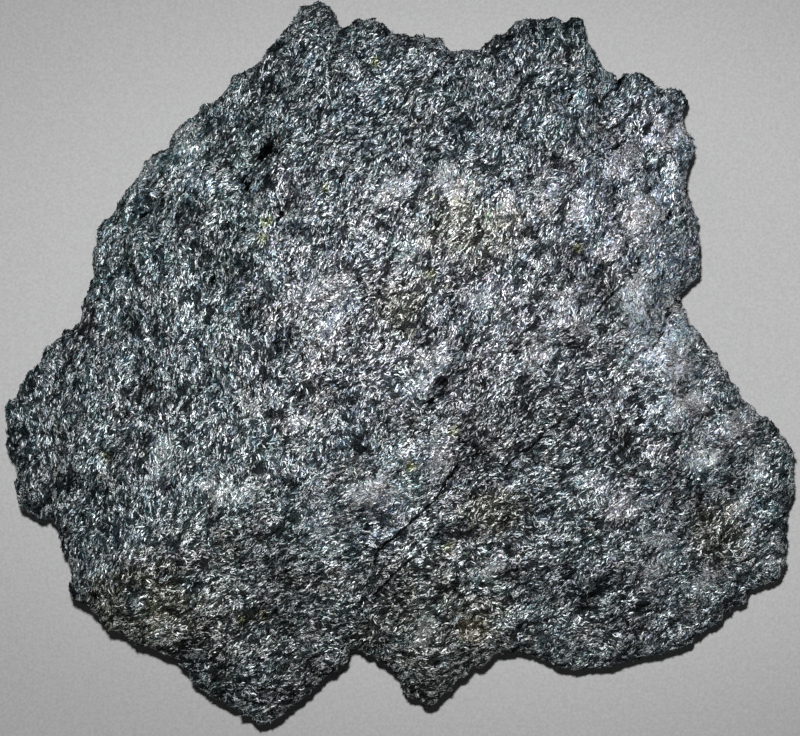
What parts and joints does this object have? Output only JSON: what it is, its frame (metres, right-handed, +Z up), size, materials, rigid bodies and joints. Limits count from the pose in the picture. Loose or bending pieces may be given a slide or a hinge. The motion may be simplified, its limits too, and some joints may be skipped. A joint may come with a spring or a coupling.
{
  "type": "chlorite schist specimen",
  "caption": "Flat, ragged slab of dark green-grey chlorite schist that rests on its cleavage face and glitters with fine flakes.",
  "frame": {"origin": "centre of the slab's plan box, on the plane that it rests on", "axes": "+Z up from the resting plane, +X to the right of the picture, +Y to its top"},
  "size_m": [0.11, 0.1004, 0.0192],
  "materials": {
    "chlorite_schist": "rough foliated rock with glittering chlorite flakes"
  },
  "bodies": {
    "root": {"chlorite_slab": "chlorite_schist"}
  },
  "joints": []
}
